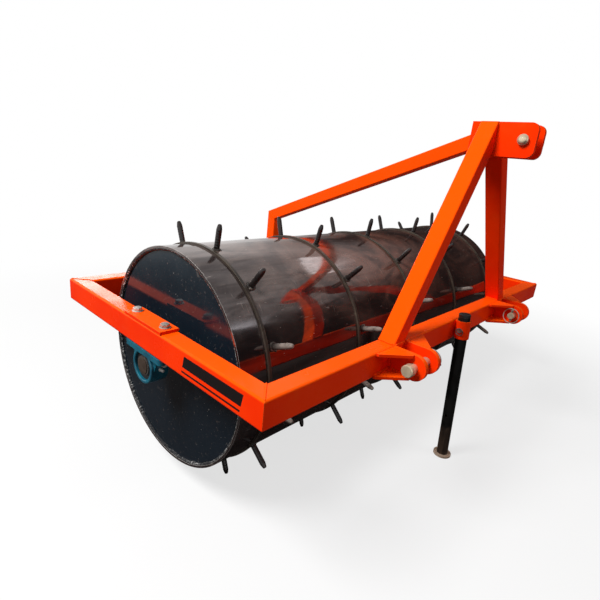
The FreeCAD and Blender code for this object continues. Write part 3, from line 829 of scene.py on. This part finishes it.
def make_stand_clips():
    """A split ring through the stand pin's head, and the spring clip through its other end."""
    ring, clip = Shape(), Shape()
    low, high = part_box("stand_pin")
    hang = Vector((low.x + 0.0005, (low.y + high.y) / 2 - 0.001, (low.z + high.z) / 2 - 0.0045))
    coil = []
    for k in range(COIL_STEPS):
        a = 2 * math.pi * k / COIL_STEPS_A_TURN
        rise = COIL_RISE * k / COIL_STEPS_A_TURN - 0.002 * math.sin(a)
        coil.append(hang + (Y * math.cos(a) + Z * math.sin(a)) * COIL_RADIUS + X * rise)
    ring.tube(coil, COIL_WIRE)
    ring.piece("stand_pin_ring", wire_look, "frame", "zinc_steel", SMOOTH_BAR)
    eye = Vector((high.x - 0.005, (low.y + high.y) / 2, (low.z + high.z) / 2))
    clip.tube(spread([eye + Y * y + Z * z for y, z in CLIP_BENDS], 0.002), CLIP_WIRE)
    clip.piece("stand_pin_clip", wire_look, "frame", "zinc_steel", SMOOTH_BAR)


def make_top_pin_dome():
    face = middle_of("top_pin")
    face.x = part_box("top_pin")[0].x
    dome = Shape()
    dome.turn([(0.0132, -0.0010), (0.0130, 0.0004), (0.0118, 0.0018), (0.0096, 0.0031),
               (0.0066, 0.0041), (0.0034, 0.0046), (0.0008, 0.0047)], face, -X)
    dome.piece("top_pin_dome", pin_look, "frame", "zinc_steel", 60)


make_stand_clips()
make_top_pin_dome()


# -------------------------------------------------------- weld beads, painted
PROUD = 0.0008              # how far a fillet's middle stands off the faces it joins
FLUSH = 0.0004              # the same for a ground butt weld
LUG_THICKNESS = 0.015
LUG_FOOT_RISE = 0.0145      # from a top lug's lower edge to the bead under it
GUSSET_THICKNESS = 0.009
GUSSET_ROOT, GUSSET_REACH = 0.086, 0.074
SOCKET_RADIUS = 0.0265
STAND_LEAN = math.radians(3.4)
MITRE_START = 0.004
leg_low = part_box("mast_leg_left")[0]
leg_foot_inner = max(v.co.x for v in nodes["mast_leg_left"].data.vertices
                     if v.co.z < beam_top + 0.0005)
lug_low, lug_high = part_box("top_lug_left")
clevis_low, clevis_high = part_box("lower_lugs_left")
brace_low, brace_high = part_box("top_brace")
post_low, post_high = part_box("brace_post")
back_y = front_y + beam_width


def mirrored(shape, way, radius, *points):
    """A bead whose points are given for the left side; a way of -1 puts it on the right."""
    bead(shape, [Vector((x * way, y, z)) for x, y, z in points], radius)


def make_mast_welds(side_name, way):
    """Round a mast leg's foot, and round the top lug on the leg."""
    mast = Shape()
    for x in (leg_low.x - PROUD, leg_foot_inner + PROUD):
        mirrored(mast, way, 0.0042, (x, front_y + 0.005, beam_top + PROUD),
                 (x, back_y - 0.005, beam_top + PROUD))
    for y in (front_y - FLUSH, back_y + FLUSH):
        mirrored(mast, way, 0.0026, (leg_low.x + 0.004, y, beam_top),
                 (leg_foot_inner - 0.004, y, beam_top))
        mirrored(mast, way, 0.0036, (lug_low.x - 0.0006, y, lug_low.z + 0.020),
                 (lug_low.x - 0.0006, y, lug_high.z - 0.004))
    mirrored(mast, way, 0.0040, (lug_low.x - PROUD, front_y + 0.005, lug_low.z + LUG_FOOT_RISE),
             (lug_low.x - PROUD, back_y - 0.005, lug_low.z + LUG_FOOT_RISE))
    mast.piece("mast_welds_" + side_name, frame_paint, "frame", "frame_paint", SMOOTH_WELD)


def make_hitch_welds(side_name, way):
    """Along both lugs of a lower clevis and the gussets beside them."""
    hitch = Shape()
    seam_y = front_y - PROUD
    for lug_x, toward in ((clevis_low.x, -1), (clevis_high.x, 1)):
        inner = lug_x - toward * LUG_THICKNESS
        x = inner - toward * PROUD
        mirrored(hitch, way, 0.0036, (x, seam_y, beam_bottom + 0.004),
                 (x, seam_y, beam_top - 0.004))
        x = lug_x + toward * PROUD
        mirrored(hitch, way, 0.0036, (x, seam_y, beam_bottom + 0.013),
                 (x, seam_y, beam_top - 0.013))
        mirrored(hitch, way, 0.0020, (inner, front_y, beam_top),
                 (lug_x + toward * (GUSSET_ROOT - 0.002), front_y, beam_top))
        for z in (beam_bottom + GUSSET_THICKNESS + PROUD, beam_top - GUSSET_THICKNESS - PROUD):
            mirrored(hitch, way, 0.0034, (lug_x + toward * 0.005, seam_y, z),
                     (lug_x + toward * (GUSSET_ROOT - 0.004), seam_y, z))
            mirrored(hitch, way, 0.0034, (x, front_y - 0.005, z),
                     (x, front_y - GUSSET_REACH + 0.003, z))
        mirrored(hitch, way, 0.0022, (lug_x, front_y - 0.006, beam_top - 0.0002),
                 (lug_x, front_y - GUSSET_REACH + 0.004, beam_top - 0.0002))
    hitch.piece("hitch_welds_" + side_name, frame_paint, "frame", "frame_paint", SMOOTH_WELD)


def make_corner_welds(side_name, way):
    """Over each mitre of the main frame, and down its inner corner."""
    corner = Shape()
    for y_out, toward in ((front_y, 1), (rear_y, -1)):
        x, y = cad_low.x + beam_width, y_out + toward * beam_width
        mirrored(corner, way, 0.0026,
                 (cad_low.x + MITRE_START, y_out + toward * MITRE_START, beam_top - FLUSH),
                 (x, y, beam_top - FLUSH))
        mirrored(corner, way, 0.0044, (x, y, beam_top - 0.006), (x, y, beam_bottom + 0.006))
    corner.piece("corner_welds_" + side_name, frame_paint, "frame", "frame_paint", SMOOTH_WELD)


def make_socket_welds():
    """Down both sides of the parking leg's socket, whose lean opens the gap towards its foot."""
    socket = Shape()
    for toward in (-1, 1):
        line = []
        for k in range(9):
            drop = 0.004 + k * 0.0078
            gap = SOCKET_RADIUS - 0.002 + drop * math.tan(STAND_LEAN)
            half = math.sqrt(max(SOCKET_RADIUS ** 2 - gap ** 2, 0.0)) + 0.0022
            x = middle_of("stand_socket").x + toward * half
            line.append((x, front_y - 0.0012, beam_top - drop))
        bead(socket, line, 0.0040)
    socket.piece("socket_welds", frame_paint, "frame", "frame_paint", SMOOTH_WELD)


def make_brace_welds():
    """Along the brace where it meets the top lugs, over its mitre and round its post's foot."""
    brace = Shape()
    half = (brace_high.x - brace_low.x) / 2
    slope = (brace_high.z - post_high.z) / (brace_high.y - brace_low.y)
    depth = (post_high.y - post_low.y) * math.sqrt(1 + slope ** 2)
    knee_z = post_high.z + slope * (post_high.y - post_low.y) - depth
    for toward in (-1, 1):
        x = toward * (half + FLUSH)
        for under in (0.0, depth):
            bead(brace, [(x, y, brace_high.z - slope * (y - brace_low.y) - under)
                         for y in (brace_low.y + 0.003, lug_high.y - 0.003)], 0.0030)
        bead(brace, [(toward * half, post_high.y - 0.003, post_high.z - 0.002),
                     (toward * half, post_low.y + 0.001, knee_z)], 0.0024)
        x = toward * (half + 0.0006)
        bead(brace, [(x, post_low.y + 0.003, beam_top + PROUD),
                     (x, post_high.y - 0.004, beam_top + PROUD)], 0.0036)
    bead(brace, [(-half + 0.003, post_low.y - 0.0006, beam_top + PROUD),
                 (half - 0.003, post_low.y - 0.0006, beam_top + PROUD)], 0.0036)
    brace.piece("brace_welds", brace_paint, "frame", "frame_paint", SMOOTH_WELD)


for side_name, side in SIDES:
    make_mast_welds(side_name, -side)
    make_hitch_welds(side_name, -side)
    make_corner_welds(side_name, -side)
make_socket_welds()
make_brace_welds()


# --------------------------------------------------------------------- camera
CAMERA_PLACE = (-1.5826, front_y - 0.5806, beam_top + 0.4971)
CAMERA_FORWARD = Vector((0.71354, 0.63188, -0.30262)).normalized()
CAMERA_UP = Vector((0.15398, 0.27994, 0.94759))


def make_camera():
    data = bpy.data.cameras.new("camera")
    data.lens = 26.11
    data.sensor_width = 36.0
    data.shift_x = 0.0027
    camera = add_object("camera", data)
    right = CAMERA_FORWARD.cross(CAMERA_UP).normalized()
    turned = Matrix((right, right.cross(CAMERA_FORWARD), -CAMERA_FORWARD)).transposed()
    camera.matrix_world = Matrix.Translation(CAMERA_PLACE) @ turned.to_4x4()
    bpy.context.scene.camera = camera


make_camera()


# ------------------------------------------------------- floor, world, lights
FLOOR_RADIUS, FLOOR_SIDES = 40.0, 96
FLOOR_FADE = (1.3, 3.2, 0.7, 1.0)   # from the first distance to the second, the glow's shares
FLOOR_LIGHT, WORLD_LIGHT = 0.16, 0.22   # strengths at which they light the object


def shown_rays(tree):
    """1 for the rays that show the surroundings as they are, 0 for those that light the object."""
    path = tree.nodes.new("ShaderNodeLightPath")
    last = path.outputs["Is Camera Ray"]
    for kind in ("Is Glossy Ray", "Is Transmission Ray"):
        larger = tree.nodes.new("ShaderNodeMath")
        larger.operation = "MAXIMUM"
        tree.links.new(last, larger.inputs[0])
        tree.links.new(path.outputs[kind], larger.inputs[1])
        last = larger.outputs[0]
    return last


def level_for(tree, light):
    """A strength of 1 where the surroundings are seen, and light where they only give light."""
    level = tree.nodes.new("ShaderNodeMapRange")
    level.inputs["To Min"].default_value = light
    tree.links.new(shown_rays(tree), level.inputs["Value"])
    return level.outputs[0]


def make_floor():
    """A pale floor that keeps the object's shadow near it and glows white far from it."""
    shape = Shape()
    shape.skin([circle(Vector(), r, FLOOR_SIDES, X, Y) for r in (0.02, FLOOR_RADIUS)], caps=False)
    shape.faces.append(tuple(range(FLOOR_SIDES)))
    mesh = bpy.data.meshes.new("floor")
    mesh.from_pydata([tuple(v) for v in shape.verts], [], shape.faces)
    floor = add_object("floor", mesh)
    g = Graph("floor_look")
    distance = g.add("ShaderNodeVectorMath", operation="LENGTH")
    g.join(g.place, distance.inputs[0])
    pale = g.mix(g.noise(1.5, 3), (0.66, 0.66, 0.66), (0.69, 0.69, 0.685))
    dim = g.mix(g.noise(1.5, 3), (0.16, 0.16, 0.16), (0.18, 0.18, 0.18))
    g.finish(g.mix(shown_rays(g.tree), dim, pale), 0.9, Specular_IOR_Level=0.1)
    glow = g.add("ShaderNodeEmission")
    g.join(level_for(g.tree, FLOOR_LIGHT), glow.inputs["Strength"])
    g.blend(g.band(distance.outputs["Value"], *FLOOR_FADE), g.shader, glow)
    floor.data.materials.append(g.material)


def make_world():
    world = bpy.data.worlds.new("studio")
    world.use_nodes = True
    tree = world.node_tree
    tree.nodes.clear()
    out = tree.nodes.new("ShaderNodeOutputWorld")
    back = tree.nodes.new("ShaderNodeBackground")
    back.inputs["Color"].default_value = (1.0, 1.0, 1.0, 1.0)
    tree.links.new(level_for(tree, WORLD_LIGHT), back.inputs["Strength"])
    tree.links.new(back.outputs[0], out.inputs[0])
    bpy.context.scene.world = world


def make_light(name, place, aim, size, power, in_gloss=True, colour=(1.0, 1.0, 1.0)):
    """A soft oval lamp; one that isn't in the gloss gives light but shows no reflection."""
    data = bpy.data.lights.new(name, "AREA")
    data.shape, data.energy, data.color = "ELLIPSE", power, colour
    data.size, data.size_y = size
    lamp = add_object(name, data)
    lamp.location = place
    lamp.rotation_mode = "QUATERNION"
    lamp.rotation_quaternion = (Vector(aim) - Vector(place)).to_track_quat("-Z", "Y")
    lamp.visible_glossy = in_gloss


NO_START, NO_END = (-2.0, -1.0), (2.0, 3.0)     # fades that lie off the card


def make_card(name, low, high, fades, density=1.0):
    """A dark card seen only in reflections, a painted dark reflection of the surroundings; it
    fades out along its edges.

    The card lies flat in the axis in which low and high agree. The fades give, for an axis and
    in shares of the card, where it starts, is full, is full still and ends.
    """
    g = Graph(name + "_look")
    place = g.xyz(g.add("ShaderNodeTexCoord").outputs["Generated"])
    mask = density
    for axis, (start, full, still, end) in fades.items():
        mask = g.times(mask, g.band(place[axis], start, full),
                       g.band(place[axis], still, end, 1.0, 0.0))
    g.finish(g.mix(g.noise(0.8, 3), (0.030, 0.024, 0.022), (0.060, 0.050, 0.046)), 0.9)
    g.blend(mask, g.add("ShaderNodeBsdfTransparent"), g.shader)
    across, up = [k for k in range(3) if low[k] != high[k]]
    corners = []
    for share_across, share_up in ((0, 0), (1, 0), (1, 1), (0, 1)):
        corner = list(low)
        corner[across] = (low, high)[share_across][across]
        corner[up] = (low, high)[share_up][up]
        corners.append(corner)
    mesh = bpy.data.meshes.new(name)
    mesh.from_pydata(corners, [], [(0, 1, 2, 3)])
    card = add_object(name, mesh)
    card.data.materials.append(g.material)
    card.visible_camera = card.visible_diffuse = card.visible_shadow = False
    card.visible_transmission = card.visible_volume_scatter = False


make_floor()
make_world()
make_light("key", (-3.4, 0.9, 4.3), (0, 0, 0.4), (2.2, 2.2), 370, in_gloss=False)
make_light("fill", (2.5, -4.5, 3.0), (0, 0, 0.4), (3.0, 3.0), 66, in_gloss=False)
make_light("glint", (4.2, 0.35, 4.7), (-0.47, -0.13, 0.73), (2.4, 0.55), 5.6,
           colour=(0.88, 0.95, 1.0))
make_light("corner_glint", (1.2, 5.8, 2.2), (-0.97, 0.4, 0.57), (1.5, 1.1), 22)
make_light("rim_glint", (2.3, -3.3, 3.4), (-0.86, -0.23, 0.64), (0.4, 0.45), 1.0,
           colour=(0.85, 0.92, 1.0))
# painted reflections: dark cards that only reflections see, darkening what the drum and the paint
# reflect
make_card("dark_reflection_floor", (-4.0, -6.3, 0.002), (6.3, 4.5, 0.002),
          {"X": (0.0, 0.2, *NO_END), "Y": (*NO_START, 0.8, 1.0)})
make_card("dark_reflection_right", (6.0, -10.0, 0.0), (6.0, 8.5, 7.0),
          {"Y": (0.0, 0.1, 0.75, 1.0), "Z": (*NO_START, 0.45, 1.0)})
make_card("dark_reflection_front", (-1.0, -6.0, 0.0), (9.0, -6.0, 9.0),
          {"X": (0.0, 0.3, 0.9, 1.0), "Z": (*NO_START, 0.40, 1.0)})
make_card("dim_reflection_overhead", (-12.0, -12.0, 8.0), (12.0, 9.0, 8.0),
          {"X": (0.0, 0.2, 0.8, 1.0), "Y": (0.0, 0.2, 0.7, 1.0)}, density=0.55)
bpy.context.scene.view_settings.view_transform = "Standard"

bpy.context.view_layer.update()
